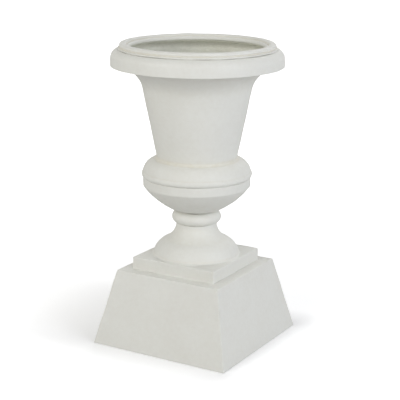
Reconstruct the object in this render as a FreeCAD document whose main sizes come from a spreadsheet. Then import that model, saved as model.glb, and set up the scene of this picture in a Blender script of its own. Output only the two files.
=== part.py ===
import FreeCAD, Part
import Sketcher
import os
import re

# Urn planter on a pedestal, as a knock-down set of mouldings that one long rod clamps together.
# Millimetres, +Z up. The origin is the middle of the square footprint, on the floor.

# ---------------------------------------------------------------- driving sizes
SIZES = [
    # pedestal: a hollow square riser that narrows upwards, open underneath
    ("base_side", 393.0, "side of the footprint"),
    ("deck_ledge", 30.0, "deck past the slab that stands on it"),
    ("pedestal_height", 198.0, "floor to deck"),
    ("pedestal_wall", 9.0, "thickness of the four sloping walls"),
    ("deck_thickness", 10.0, "thickness of the pedestal's top"),
    ("corner_round", 4.0, "rounding of the pedestal's corners"),
    ("deck_drain_radius", 6.0, "each drain hole in the deck"),
    ("deck_drain_edge", 2.0, "deck drain hole inside the water passage by this"),
    # plinth: the square slab under the foot
    ("plinth_ledge", 2.0, "slab past the foot that stands on it"),
    ("plinth_height", 33.0, "height of the slab"),
    ("plinth_round", 2.0, "rounding of the slab's corners"),
    ("plinth_arris", 1.5, "rounding of the slab's upper arrises"),
    ("core_gap", 1.5, "water passage past the drain grommet"),
    ("peg_radius", 5.0, "locating peg"),
    ("peg_depth", 15.0, "length of a peg inside the slab"),
    ("peg_spread", 85.0, "peg from each centre line"),
    # foot: flare, ovolo, hollow stem
    ("foot_radius", 112.6, "foot just above its flare"),
    ("flare_reach", 5.4, "flare past the foot, where it meets the slab"),
    ("flare_land", 0.8, "upright edge of the flare"),
    ("flare_height", 6.2, "top of the flare's cove"),
    ("flare_rise", 1.4, "hollow of the flare's cove"),
    ("ovolo_height", 40.2, "top of the foot's rounded part"),
    ("ovolo_radius", 80.8, "foot where the stem's hollow begins"),
    ("ovolo_rise", 4.9, "bulge of the foot's rounded part"),
    ("stem_rise", 5.9, "depth of the stem's hollow"),
    ("stem_height", 86.0, "slab to ring"),
    ("stem_upright", 6.0, "upright part of the stem under the ring"),
    ("stem_radius", 53.5, "stem at its narrowest"),
    # ring between stem and bowl
    ("knop_radius", 64.8, "ring at its widest"),
    ("knop_height", 28.0, "height of the ring"),
    ("gasket_height", 2.0, "foam gasket on the ring"),
    ("gasket_edge", 1.5, "gasket inside the ring's flat top"),
    # bowl, lower shell
    ("bowl_wall", 9.0, "thickness of both bowl shells"),
    ("spigot_height", 3.0, "short neck under the bowl"),
    ("neck_radius", 57.0, "bowl's neck"),
    ("bowl_depth", 68.0, "neck to band"),
    ("bowl_rise", 5.7, "bulge of the bowl's underside"),
    ("band_radius", 140.5, "plain band round the bowl"),
    ("band_height", 23.0, "height of the band"),
    ("floor_thickness", 15.0, "floor of the bowl"),
    # bowl, upper shell
    ("bead_step", 1.0, "bead's root inside the band"),
    ("bead_height", 15.0, "height of the bead above the seam"),
    ("bead_rise", 4.1, "bulge of the bead"),
    ("belly_step", 0.5, "belly's start outside the band"),
    ("belly_round", 42.4, "radius of the belly's shoulder"),
    ("belly_drop", 11.0, "shoulder's centre under the bead's top"),
    ("cove_width", 5.8, "small cove at the foot of the body"),
    ("cove_height", 7.5, "height of that cove"),
    ("cove_rise", 2.0, "hollow of that cove"),
    ("body_foot_radius", 105.2, "body at its foot"),
    ("body_top_radius", 140.8, "body where the cavetto begins"),
    ("body_height", 178.0, "length of the straight body"),
    ("cavetto_radius", 70.0, "large hollow moulding under the collar"),
    ("quirk_height", 3.6, "step between hollow and collar"),
    ("inner_step", 3.0, "chamfer inside the foot of the body"),
    ("collar_radius", 223.0, "collar's lower edge"),
    ("collar_overhang", 20.0, "collar past the end of the large hollow"),
    ("collar_lean", 0.9, "collar's face leans in by this"),
    ("collar_face_height", 20.5, "upright part of the collar"),
    ("collar_height", 41.5, "height of the collar"),
    ("collar_rise", 4.6, "bulge of the collar's shoulder"),
    ("collar_wall", 10.0, "thickness of the collar"),
    ("collar_shoulder", 17.0, "collar's shoulder, measured inwards"),
    ("flange_thickness", 7.0, "flange that carries the rim"),
    ("pocket_chamfer", 7.0, "corner inside the collar"),
    # rim
    ("rim_ledge", 2.1, "collar's shoulder ends outside the rim by this"),
    ("rim_width", 22.0, "width of the rim at its foot"),
    ("rim_overhang", 3.0, "rim stands inside the flange by this"),
    ("rim_spigot", 1.5, "lip of the rim that drops inside the flange"),
    ("fillet_height", 5.2, "thin fillet at the rim's foot"),
    ("groove_depth", 1.3, "groove over the fillet"),
    ("groove_height", 1.8, "height of the groove"),
    ("rim_height", 14.5, "height of the rim"),
    ("rim_outer_round", 7.5, "rim's outer rounding"),
    ("rim_inner_round", 4.0, "rim's inner rounding"),
    # laminated strip inside the bowl's seam
    ("strip_height", 26.0, "height of the strip"),
    ("strip_thickness", 2.3, "thickness of the strip"),
    # rod and its hardware
    ("rod_radius", 6.0, "threaded rod"),
    ("rod_tail", 6.0, "rod past each nut"),
    ("rod_chamfer", 1.0, "chamfer on the rod's ends"),
    ("bore_gap", 0.5, "gap round the rod in mouldings and washers"),
    ("nut_flats", 18.0, "nut across its flats"),
    ("nut_height", 10.8, "height of a nut"),
    ("nut_chamfer", 1.2, "chamfer on a nut's corners"),
    ("thread_gap", 0.1, "gap between rod and nut"),
    ("washer_radius", 12.0, "steel and rubber washers"),
    ("washer_height", 2.5, "steel washer"),
    ("seal_height", 2.0, "rubber washer"),
    ("bar_length", 140.0, "clamp bar under the deck"),
    ("bar_width", 25.0, "width of the clamp bar"),
    ("bar_height", 5.0, "thickness of the clamp bar"),
    ("spring_height", 3.0, "split spring washer"),
    ("spring_radius", 10.5, "outside of the spring washer"),
    ("spring_slit", 1.6, "slit in the spring washer"),
    # drain
    ("sleeve_radius", 8.0, "grommet in the floor"),
    ("lip_radius", 10.5, "grommet's lips"),
    ("lip_gap", 1.5, "grommet's lip from the washers on the rod"),
    ("lip_height", 2.0, "thickness of each lip"),
    ("plug_radius", 5.0, "plug's pin"),
    ("plug_tail", 1.0, "plug past the lower lip"),
    ("plug_head_radius", 9.0, "plug's head"),
    ("plug_head_height", 3.0, "thickness of the plug's head"),
    ("grip_neck_radius", 3.0, "waist of the plug's grip"),
    ("grip_neck_height", 4.0, "height of that waist"),
    ("grip_radius", 4.5, "knob of the plug's grip"),
    ("grip_height", 6.0, "height of the knob"),
    # clearance between pieces that meet on round faces
    ("fit_gap", 0.3, "gap on round seats"),
]

document = FreeCAD.newDocument("urn_planter")
sheet = document.addObject("Spreadsheet::Sheet", "sizes")
for row, (alias, millimetres, meaning) in enumerate(SIZES, start=1):
    sheet.set(f"A{row}", alias)
    sheet.set(f"B{row}", str(millimetres))
    sheet.setAlias(f"B{row}", alias)
    sheet.set(f"C{row}", meaning)
document.recompute()

ALIAS = re.compile(r"\b(" + "|".join(alias for alias, _, _ in SIZES) + r")\b")


# ---------------------------------------------------------------- helpers
def full(expression):
    """The expression with every size written as a reference to the sheet."""
    return ALIAS.sub(r"sizes.\1", expression)


def number(expression):
    """What an expression over the sizes comes to."""
    return float(sheet.evalExpression(full(expression)))


def bind(thing, **expressions):
    """Ties properties of an object to expressions over the sizes."""
    for name, expression in expressions.items():
        thing.setExpression(name, full(expression))


def place(thing, level, across="0"):
    """Stands a piece at a height, and a distance along X from the middle."""
    thing.setExpression(".Placement.Base.z", full(level))
    thing.setExpression(".Placement.Base.x", full(across))


def new_body(name, level, across="0"):
    body = document.addObject("PartDesign::Body", name)
    body.Label = name
    place(body, level, across)
    return body


def new_sketch(body, name, role, lift="0"):
    """An empty sketch on one of the body's own origin planes, lifted along its normal."""
    sketch = body.newObject("Sketcher::SketchObject", name)
    for feature in body.Origin.OriginFeatures:
        if feature.Role == role:
            sketch.AttachmentSupport = (feature, [""])
    sketch.MapMode = "FlatFace"
    sketch.setExpression(".AttachmentOffset.Base.z", full(lift))
    return sketch


def rise(expression):
    """A bend given by how far its middle stands off the chord; minus is a hollow."""
    return ("rise", expression)


def radius(expression):
    """A bend given by its radius; minus is a hollow."""
    return ("radius", expression)


def bend_radius(bend, corner, next_corner):
    """The signed radius of a bend between two corners, as an expression."""
    kind, amount = bend
    if kind == "radius":
        return amount
    run = f"({next_corner[0]} - ({corner[0]}))"
    climb = f"({next_corner[1]} - ({corner[1]}))"
    return f"({run}^2 + {climb}^2) / (8 * ({amount})) + ({amount}) / 2"


def arc_between(start, end, signed_radius):
    """The short arc from start to end. A plus radius turns left on the way."""
    chord = end - start
    side = FreeCAD.Vector(-chord.y, chord.x, 0).normalize()
    reach = (signed_radius ** 2 - (chord.Length / 2) ** 2) ** 0.5
    turn = 1 if signed_radius > 0 else -1
    centre = start + chord * 0.5 + side * (reach * turn)
    middle = centre - side * (abs(signed_radius) * turn)
    return Part.Arc(start, middle, end)


def add_loop(sketch, corners):
    """A closed outline, walked with its solid on the left. A corner is (x, y), or (x, y, bend)
    where the stretch that follows it is an arc."""
    spots = [FreeCAD.Vector(number(corner[0]), number(corner[1]), 0) for corner in corners]
    starts, ends, ties, bound = [], [], [], []
    for index, corner in enumerate(corners):
        after = (index + 1) % len(corners)
        if len(corner) == 2:
            edge = sketch.addGeometry(Part.LineSegment(spots[index], spots[after]))
            starts.append((edge, 1))
            ends.append((edge, 2))
            continue
        signed = bend_radius(corner[2], corner, corners[after])
        edge = sketch.addGeometry(arc_between(spots[index], spots[after], number(signed)))
        turns_left = number(signed) > 0
        starts.append((edge, 1 if turns_left else 2))
        ends.append((edge, 2 if turns_left else 1))
        ties.append(Sketcher.Constraint("Radius", edge, abs(number(signed))))
        bound.append(f"abs({signed})")
    for (edge, point), corner, spot in zip(starts, corners, spots):
        ties.append(Sketcher.Constraint("DistanceX", -1, 1, edge, point, spot.x))
        bound.append(corner[0])
        ties.append(Sketcher.Constraint("DistanceY", -1, 1, edge, point, spot.y))
        bound.append(corner[1])
    first = sketch.ConstraintCount
    sketch.addConstraint(ties)
    for index, expression in enumerate(bound, start=first):
        sketch.setExpression(f"Constraints[{index}]", full(expression))
    joined = zip(ends[-1:] + ends[:-1], starts)
    sketch.addConstraint([Sketcher.Constraint("Coincident", *end, *start) for end, start in joined])


def add_circle(sketch, x, y, circle_radius):
    """A full circle with its centre and radius tied to the sizes."""
    centre = FreeCAD.Vector(number(x), number(y), 0)
    upward = FreeCAD.Vector(0, 0, 1)
    edge = sketch.addGeometry(Part.Circle(centre, upward, number(circle_radius)))
    first = sketch.ConstraintCount
    sketch.addConstraint([
        Sketcher.Constraint("DistanceX", -1, 1, edge, 3, centre.x),
        Sketcher.Constraint("DistanceY", -1, 1, edge, 3, centre.y),
        Sketcher.Constraint("Radius", edge, number(circle_radius)),
    ])
    for index, expression in enumerate((x, y, circle_radius), start=first):
        sketch.setExpression(f"Constraints[{index}]", full(expression))


def turn(body, corners):
    """Turns an outline of (radius, height) corners about the vertical axis."""
    sketch = new_sketch(body, body.Name + "_profile", "XZ_Plane")
    add_loop(sketch, corners)
    turned = body.newObject("PartDesign::Revolution", body.Name + "_turned")
    turned.Profile = sketch
    turned.ReferenceAxis = (sketch, ["V_Axis"])
    turned.Angle = 360
    return turned


def drill(body, name, circles, lift="0", depth=None):
    """Cuts round holes upwards from a level: through all, or to a depth."""
    document.recompute()
    before = body.Shape.Volume
    sketch = new_sketch(body, name + "_circles", "XY_Plane", lift)
    for circle in circles:
        add_circle(sketch, *circle)
    pocket = body.newObject("PartDesign::Pocket", name)
    pocket.Profile = sketch
    pocket.Reversed = True
    if depth is None:
        pocket.Type = "ThroughAll"
    else:
        pocket.Type = "Length"
        bind(pocket, Length=depth)
    document.recompute()
    if body.Shape.Volume > before - 1.0:
        raise RuntimeError(f"{name} cuts nothing")
    return pocket


def rounded_square(side, corner):
    """The outline of a square with rounded corners, seen from above."""
    edge = f"(({side}) / 2)"
    inset = f"({edge} - ({corner}))"
    quarter = radius(corner)
    return [
        (inset, f"-{edge}", quarter),
        (edge, f"-{inset}"),
        (edge, inset, quarter),
        (inset, edge),
        (f"-{inset}", edge, quarter),
        (f"-{edge}", inset),
        (f"-{edge}", f"-{inset}", quarter),
        (f"-{inset}", f"-{edge}"),
    ]


def edges_at(shape, height):
    """The names of the edges that lie wholly at one height."""
    names = []
    for index, edge in enumerate(shape.Edges, start=1):
        box = edge.BoundBox
        if abs(box.ZMin - height) < 0.01 and abs(box.ZMax - height) < 0.01:
            names.append(f"Edge{index}")
    return names


def four_ways(spread):
    """The four (x, y) places at a spread from both centre lines."""
    return [(x, y) for x in (spread, f"-({spread})") for y in (spread, f"-({spread})")]


# ---------------------------------------------------------------- sizes that pieces share
DRAIN_PLACE = "(washer_radius + lip_gap + lip_radius)"
CORE_RADIUS = f"({DRAIN_PLACE} + lip_radius + core_gap)"
FLARE_RADIUS = "(foot_radius + flare_reach)"
PLINTH_SIDE = f"(2 * ({FLARE_RADIUS} + plinth_ledge))"
DECK_SIDE = f"({PLINTH_SIDE} + 2 * deck_ledge)"

# levels above the floor
PLINTH_LEVEL = "pedestal_height"
STEM_LEVEL = f"({PLINTH_LEVEL} + plinth_height)"
KNOP_LEVEL = f"({STEM_LEVEL} + stem_height)"
GASKET_LEVEL = f"({KNOP_LEVEL} + knop_height)"
BOWL_LEVEL = f"({GASKET_LEVEL} + gasket_height)"
BAND_FOOT = "(spigot_height + bowl_depth)"
BOWL_HEIGHT = f"({BAND_FOOT} + band_height)"
SEAM_LEVEL = f"({BOWL_LEVEL} + {BOWL_HEIGHT})"
FLOOR_LEVEL = f"({BOWL_LEVEL} + floor_thickness)"
DECK_UNDERSIDE = "(pedestal_height - deck_thickness)"

# ---------------------------------------------------------------- pedestal
pedestal = new_body("pedestal_shell", "0")


def loft_square(name, kind, foot, head):
    """A square loft between two levels; foot and head are (level, side, corner)."""
    sections = []
    for part, (level, side, corner) in (("foot", foot), ("head", head)):
        sketch = new_sketch(pedestal, f"{name}_{part}", "XY_Plane", level)
        add_loop(sketch, rounded_square(side, corner))
        sections.append(sketch)
    loft = pedestal.newObject(kind, name)
    loft.Profile = sections[0]
    loft.Sections = [sections[1]]
    loft.Ruled = True
    return loft


# the slope of the walls carries the inner side at the deck's underside
slope = f"((base_side - {DECK_SIDE}) / pedestal_height)"
inner_foot_side = "(base_side - 2 * pedestal_wall)"
inner_head_side = f"({inner_foot_side} - {slope} * {DECK_UNDERSIDE})"
loft_square("pedestal_block", "PartDesign::AdditiveLoft",
            ("0", "base_side", "corner_round"),
            ("pedestal_height", DECK_SIDE, "corner_round"))
loft_square("pedestal_hollow", "PartDesign::SubtractiveLoft",
            ("0", inner_foot_side, "corner_round"),
            (DECK_UNDERSIDE, inner_head_side, "corner_round"))
rod_hole = ("0", "0", "rod_radius + bore_gap")
peg_holes = [(x, y, "peg_radius + fit_gap") for x, y in four_ways("peg_spread")]
drain_spread = f"({CORE_RADIUS} - deck_drain_edge - deck_drain_radius) * sqrt(0.5)"
deck_drains = [(x, y, "deck_drain_radius") for x, y in four_ways(drain_spread)]
drill(pedestal, "deck_holes", [rod_hole] + peg_holes + deck_drains)

# ---------------------------------------------------------------- plinth
plinth = new_body("plinth", PLINTH_LEVEL)
plinth_square = new_sketch(plinth, "plinth_square", "XY_Plane")
add_loop(plinth_square, rounded_square(PLINTH_SIDE, "plinth_round"))
plinth_slab = plinth.newObject("PartDesign::Pad", "plinth_slab")
plinth_slab.Profile = plinth_square
bind(plinth_slab, Length="plinth_height")
document.recompute()
plinth_rounding = plinth.newObject("PartDesign::Fillet", "plinth_rounding")
plinth_rounding.Base = (plinth_slab, edges_at(plinth_slab.Shape, number("plinth_height")))
bind(plinth_rounding, Radius="plinth_arris")
drill(plinth, "plinth_core", [("0", "0", CORE_RADIUS)])
drill(plinth, "plinth_peg_holes", peg_holes, depth="peg_depth + fit_gap")

pegs = document.addObject("Part::Compound", "locating_pegs")
pegs.Label = "locating_pegs"
peg_list = []
for x, y in four_ways("peg_spread"):
    peg = document.addObject("Part::Cylinder", "peg")
    bind(peg, Radius="peg_radius", Height="deck_thickness + peg_depth")
    place(peg, DECK_UNDERSIDE, x)
    peg.setExpression(".Placement.Base.y", full(y))
    peg_list.append(peg)
pegs.Links = peg_list

# ---------------------------------------------------------------- foot, stem and ring
stem = new_body("stem_foot", STEM_LEVEL)
turn(stem, [
    (CORE_RADIUS, "0"),
    (FLARE_RADIUS, "0"),
    (FLARE_RADIUS, "flare_land", rise("-flare_rise")),
    ("foot_radius", "flare_height", rise("ovolo_rise")),
    ("ovolo_radius", "ovolo_height", rise("-stem_rise")),
    ("stem_radius", "stem_height - stem_upright"),
    ("stem_radius", "stem_height"),
    (CORE_RADIUS, "stem_height"),
])

knop_round = "(knop_height / 2)"
knop_seat = f"(knop_radius - {knop_round})"
knop = new_body("neck_ring", KNOP_LEVEL)
turn(knop, [
    (CORE_RADIUS, "0"),
    (knop_seat, "0", radius(knop_round)),
    ("knop_radius", knop_round, radius(knop_round)),
    (knop_seat, "knop_height"),
    (CORE_RADIUS, "knop_height"),
])

gasket = new_body("neck_gasket", GASKET_LEVEL)
turn(gasket, [
    (f"{CORE_RADIUS} + gasket_edge", "0"),
    (f"{knop_seat} - gasket_edge", "0"),
    (f"{knop_seat} - gasket_edge", "gasket_height"),
    (f"{CORE_RADIUS} + gasket_edge", "gasket_height"),
])

# ---------------------------------------------------------------- bowl, lower shell
band_inside = "(band_radius - bowl_wall)"
bowl = new_body("bowl_lower_shell", BOWL_LEVEL)
turn(bowl, [
    ("rod_radius + bore_gap", "0"),
    ("neck_radius", "0"),
    ("neck_radius", "spigot_height", rise("bowl_rise")),
    ("band_radius", BAND_FOOT),
    ("band_radius", BOWL_HEIGHT),
    (band_inside, BOWL_HEIGHT),
    (band_inside, f"{BAND_FOOT} + bowl_wall", rise("-bowl_rise")),
    ("neck_radius", "floor_thickness"),
    ("rod_radius + bore_gap", "floor_thickness"),
])
drill(bowl, "drain_hole", [(DRAIN_PLACE, "0", "sleeve_radius + fit_gap")])

strip = new_body("seam_strip", f"{SEAM_LEVEL} - strip_height / 2")
strip_outside = f"({band_inside} - fit_gap)"
turn(strip, [
    (f"{strip_outside} - strip_thickness", "0"),
    (strip_outside, "0"),
    (strip_outside, "strip_height"),
    (f"{strip_outside} - strip_thickness", "strip_height"),
])

# ---------------------------------------------------------------- bowl, upper shell
# the shoulder over the bead: part of a circle that the inner face shares
belly_start = "(band_radius + belly_step)"
belly_middle = f"({belly_start} - sqrt(belly_round^2 - belly_drop^2))"
belly_level = "(bead_height - belly_drop)"
belly_inner = "(belly_round - bowl_wall)"
cove_start = "(body_foot_radius + cove_width)"
cove_level = f"({belly_level} + sqrt(belly_round^2 - ({cove_start} - {belly_middle})^2))"
body_level = f"({cove_level} + cove_height)"
body_top_level = f"({body_level} + body_height)"

# the lean of the body: the cavetto starts square to it, and the inner face lies parallel
flank = "sqrt(body_height^2 + (body_top_radius - body_foot_radius)^2)"
lean_cos = f"(body_height / {flank})"
lean_sin = f"((body_top_radius - body_foot_radius) / {flank})"
cavetto_middle = f"(body_top_radius + cavetto_radius * {lean_cos})"
cavetto_level = f"({body_top_level} - cavetto_radius * {lean_sin})"
quirk_radius = "(collar_radius - collar_overhang)"
quirk_reach = f"({cavetto_middle} - {quirk_radius})"
cavetto_end = f"({cavetto_level} + sqrt(cavetto_radius^2 - {quirk_reach}^2))"
inner_cavetto = "(cavetto_radius + bowl_wall)"
inner_cavetto_end = f"({cavetto_level} + sqrt({inner_cavetto}^2 - {quirk_reach}^2))"
inner_foot_radius = f"(body_foot_radius - bowl_wall * {lean_cos})"
inner_foot_level = f"({body_level} + bowl_wall * {lean_sin})"
inner_belly_start = f"({inner_foot_radius} + inner_step)"
inner_belly_level = (f"({belly_level} + sqrt({belly_inner}^2 - "
                     f"({inner_belly_start} - {belly_middle})^2))")
inner_seam_level = f"({belly_level} + sqrt({belly_inner}^2 - ({band_inside} - {belly_middle})^2))"

collar_level = f"({cavetto_end} + quirk_height)"
collar_top = f"({collar_level} + collar_height)"
collar_edge = "(collar_radius - collar_lean)"
collar_inside = "(collar_radius - collar_wall)"
flange_underside = f"({collar_top} - flange_thickness)"
shoulder_end = f"({collar_edge} - collar_shoulder)"
rim_outside = f"({shoulder_end} - rim_ledge)"
mouth_radius = f"({rim_outside} - rim_width)"
flange_radius = f"({mouth_radius} + rim_overhang)"

upper = new_body("bowl_upper_shell", SEAM_LEVEL)
turn(upper, [
    (band_inside, "0"),
    ("band_radius - bead_step", "0", rise("bead_rise")),
    (belly_start, "bead_height", radius("belly_round")),
    (cove_start, cove_level, rise("-cove_rise")),
    ("body_foot_radius", body_level),
    ("body_top_radius", body_top_level, radius("-cavetto_radius")),
    (quirk_radius, cavetto_end),
    (quirk_radius, collar_level),
    ("collar_radius", collar_level),
    (collar_edge, f"{collar_level} + collar_face_height", rise("collar_rise")),
    (shoulder_end, collar_top),
    (flange_radius, collar_top),
    (flange_radius, flange_underside),
    (f"{collar_inside} - pocket_chamfer", flange_underside),
    (collar_inside, f"{flange_underside} - pocket_chamfer"),
    (collar_inside, f"{collar_level} + bowl_wall"),
    (quirk_radius, f"{collar_level} + bowl_wall"),
    (quirk_radius, inner_cavetto_end, radius(inner_cavetto)),
    (f"{cavetto_middle} - {inner_cavetto} * {lean_cos}",
     f"{cavetto_level} + {inner_cavetto} * {lean_sin}"),
    (inner_foot_radius, inner_foot_level),
    (inner_foot_radius, f"{inner_belly_level} + inner_step"),
    (inner_belly_start, inner_belly_level, radius(f"-{belly_inner}")),
    (band_inside, inner_seam_level),
])

# ---------------------------------------------------------------- rim
rim = new_body("rim_ring", f"{SEAM_LEVEL} + {collar_top}")
rim_crest = f"({rim_outside} - groove_depth)"
spigot_outside = f"({flange_radius} - fit_gap)"
turn(rim, [
    (mouth_radius, "-rim_spigot"),
    (spigot_outside, "-rim_spigot"),
    (spigot_outside, "0"),
    (rim_outside, "0"),
    (rim_outside, "fillet_height"),
    (rim_crest, "fillet_height + groove_height / 2"),
    (rim_crest, "rim_height - rim_outer_round", radius("rim_outer_round")),
    (f"{rim_crest} - rim_outer_round", "rim_height"),
    (f"{mouth_radius} + rim_inner_round", "rim_height", radius("rim_inner_round")),
    (mouth_radius, "rim_height - rim_inner_round"),
])


# ---------------------------------------------------------------- rod and its hardware
def add_washer(name, level, outer, inner, thickness):
    """A flat ring about the rod."""
    washer = new_body(name, level)
    turn(washer, [(inner, "0"), (outer, "0"), (outer, thickness), (inner, thickness)])
    return washer


def add_nut(name, level):
    """A chamfered round blank on the rod, with six flats cut off it."""
    corner = "(nut_flats / sqrt(3))"
    chamfered = f"({corner} - nut_chamfer)"
    bore = "rod_radius + thread_gap"
    nut = new_body(name, level)
    turn(nut, [
        (bore, "0"),
        (chamfered, "0"),
        (corner, "nut_chamfer / 2"),
        (corner, "nut_height - nut_chamfer / 2"),
        (chamfered, "nut_height"),
        (bore, "nut_height"),
    ])
    flats = new_sketch(nut, name + "_flats", "XY_Plane")
    add_loop(flats, [(f"{corner} * cos({60 * side})", f"{corner} * sin({60 * side})")
                     for side in range(6)])
    add_circle(flats, "0", "0", f"{corner} + nut_chamfer")
    cut = nut.newObject("PartDesign::Pocket", name + "_cut")
    cut.Profile = flats
    cut.Reversed = True
    cut.Type = "ThroughAll"
    return nut


washer_bore = "rod_radius + bore_gap"
seal_level = FLOOR_LEVEL
washer_level = f"({seal_level} + seal_height)"
top_nut_level = f"({washer_level} + washer_height)"
bar_level = f"({DECK_UNDERSIDE} - bar_height)"
spring_level = f"({bar_level} - spring_height)"
low_nut_level = f"({spring_level} - nut_height)"
rod_foot = f"({low_nut_level} - rod_tail)"
rod_head = f"({top_nut_level} + nut_height + rod_tail)"
rod_length = f"({rod_head} - {rod_foot})"

seal = add_washer("bowl_seal_washer", seal_level, "washer_radius", washer_bore, "seal_height")
washer = add_washer("bowl_washer", washer_level, "washer_radius", washer_bore, "washer_height")
top_nut = add_nut("bowl_nut", top_nut_level)
low_nut = add_nut("pedestal_nut", low_nut_level)
spring = add_washer("spring_washer", spring_level, "spring_radius", washer_bore, "spring_height")
slit = new_sketch(spring, "spring_washer_slit", "XY_Plane")
slit_end = "spring_radius + bore_gap"
add_loop(slit, [("0", "-spring_slit / 2"), (slit_end, "-spring_slit / 2"),
                (slit_end, "spring_slit / 2"), ("0", "spring_slit / 2")])
slit_cut = spring.newObject("PartDesign::Pocket", "spring_washer_cut")
slit_cut.Profile = slit
slit_cut.Reversed = True
slit_cut.Type = "ThroughAll"

bar_blank = document.addObject("Part::Box", "bar_blank")
bind(bar_blank, Length="bar_length", Width="bar_width", Height="bar_height")
place(bar_blank, bar_level, "-bar_length / 2")
bar_blank.setExpression(".Placement.Base.y", full("-bar_width / 2"))
bar_bore = document.addObject("Part::Cylinder", "bar_bore")
bind(bar_bore, Radius=washer_bore, Height="bar_height")
place(bar_bore, bar_level)
bar = document.addObject("Part::Cut", "clamp_bar")
bar.Label = "clamp_bar"
bar.Base = bar_blank
bar.Tool = bar_bore

rod = new_body("tie_rod", rod_foot)
turn(rod, [
    ("0", "0"),
    ("rod_radius - rod_chamfer", "0"),
    ("rod_radius", "rod_chamfer"),
    ("rod_radius", f"{rod_length} - rod_chamfer"),
    ("rod_radius - rod_chamfer", rod_length),
    ("0", rod_length),
])

# ---------------------------------------------------------------- drain
grommet = new_body("drain_grommet", f"{BOWL_LEVEL} - lip_height", DRAIN_PLACE)
grommet_bore = "plug_radius + fit_gap"
grommet_height = "(floor_thickness + 2 * lip_height)"
turn(grommet, [
    (grommet_bore, "0"),
    ("lip_radius", "0"),
    ("lip_radius", "lip_height"),
    ("sleeve_radius", "lip_height"),
    ("sleeve_radius", "lip_height + floor_thickness"),
    ("lip_radius", "lip_height + floor_thickness"),
    ("lip_radius", grommet_height),
    (grommet_bore, grommet_height),
])

plug = new_body("drain_plug", f"{BOWL_LEVEL} - lip_height - plug_tail", DRAIN_PLACE)
plug_seat = f"(plug_tail + {grommet_height})"
grip_level = f"({plug_seat} + plug_head_height + grip_neck_height)"
turn(plug, [
    ("0", "0"),
    ("plug_radius - plug_tail", "0"),
    ("plug_radius", "plug_tail"),
    ("plug_radius", plug_seat),
    ("plug_head_radius", plug_seat),
    ("plug_head_radius", f"{plug_seat} + plug_head_height"),
    ("grip_neck_radius", f"{plug_seat} + plug_head_height"),
    ("grip_neck_radius", grip_level, rise("grip_radius - grip_neck_radius")),
    ("grip_neck_radius", f"{grip_level} + grip_height"),
    ("0", f"{grip_level} + grip_height"),
])

# ---------------------------------------------------------------- checks and files
PIECES = [
    pedestal, plinth, pegs, stem, knop, gasket, bowl, strip, upper, rim,
    rod, seal, washer, top_nut, bar, spring, low_nut, grommet, plug,
]

document.recompute()
for thing in document.Objects:
    if "Invalid" in thing.State or "Error" in thing.State:
        raise RuntimeError(f"{thing.Label} failed: {thing.State}")
for piece in PIECES:
    if piece.Shape.isNull() or not piece.Shape.isValid():
        raise RuntimeError(f"{piece.Label} has no sound shape")

os.makedirs("parts", exist_ok=True)
for piece in PIECES:
    piece.Shape.exportStep(f"parts/{piece.Label}.step")
    box = piece.Shape.BoundBox
    print(f"{piece.Label:18s} solids {len(piece.Shape.Solids)}  volume {piece.Shape.Volume / 1000:9.1f} cm3"
          f"  z {box.ZMin:7.2f} to {box.ZMax:7.2f}  x {box.XMin:7.2f} to {box.XMax:7.2f}")
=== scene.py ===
# %% [markdown]
# # A moulded urn planter
#
# The object is a garden urn on a tapered square pedestal. It is a set of thin hollow mouldings in
# fibre-reinforced composite, painted matte antique white outside and left bare inside, and one long
# threaded rod clamps them together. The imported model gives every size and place. This lesson builds
# the looks round it: softer, slightly uneven mouldings, and a finish for each real material.

import math

import bmesh
import bpy
import numpy as np
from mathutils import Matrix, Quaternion, Vector


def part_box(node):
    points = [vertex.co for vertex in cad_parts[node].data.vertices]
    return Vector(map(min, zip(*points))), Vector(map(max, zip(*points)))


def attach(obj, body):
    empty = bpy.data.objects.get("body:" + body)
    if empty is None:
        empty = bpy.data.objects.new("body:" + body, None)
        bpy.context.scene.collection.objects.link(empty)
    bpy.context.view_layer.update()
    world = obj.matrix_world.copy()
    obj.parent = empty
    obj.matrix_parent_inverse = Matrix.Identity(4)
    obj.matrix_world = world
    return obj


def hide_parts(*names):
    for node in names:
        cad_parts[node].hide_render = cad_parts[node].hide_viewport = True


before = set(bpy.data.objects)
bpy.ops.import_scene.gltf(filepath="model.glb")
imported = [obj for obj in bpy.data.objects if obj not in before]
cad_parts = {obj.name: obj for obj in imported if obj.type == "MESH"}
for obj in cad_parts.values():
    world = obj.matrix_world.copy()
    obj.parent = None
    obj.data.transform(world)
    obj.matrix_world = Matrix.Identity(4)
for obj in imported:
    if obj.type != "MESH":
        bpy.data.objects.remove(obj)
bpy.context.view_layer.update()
print("nodes:", ", ".join(sorted(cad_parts)))

# %% [markdown]
# ## Sizes
#
# Shapes are worked out in millimetres, as on a drawing, and turned to metres when a mesh is made.
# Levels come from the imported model, so a piece always sits where its node is.

# %% Read levels from the model
MM = 0.001


def level(node):
    """Height of a node's underside, in millimetres."""
    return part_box(node)[0][2] / MM


def top(node):
    """Height of a node's top, in millimetres."""
    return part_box(node)[1][2] / MM


print(f"foot stands at {level('stem_foot'):.0f} mm, the rim ends at {top('rim_ring'):.0f} mm")

# %% [markdown]
# ## Templates
#
# A turned moulding starts as a pattern-maker's template: an outline of straight stretches and arcs.
# An arc is given by how far its middle stands off the straight line between its ends, because that is
# what a template-maker measures. The outline is walked in half-millimetre steps, with the solid on the
# left, and each point also notes whether its face is left bare.

# %% Walk a template
STEP = 0.5


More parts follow.
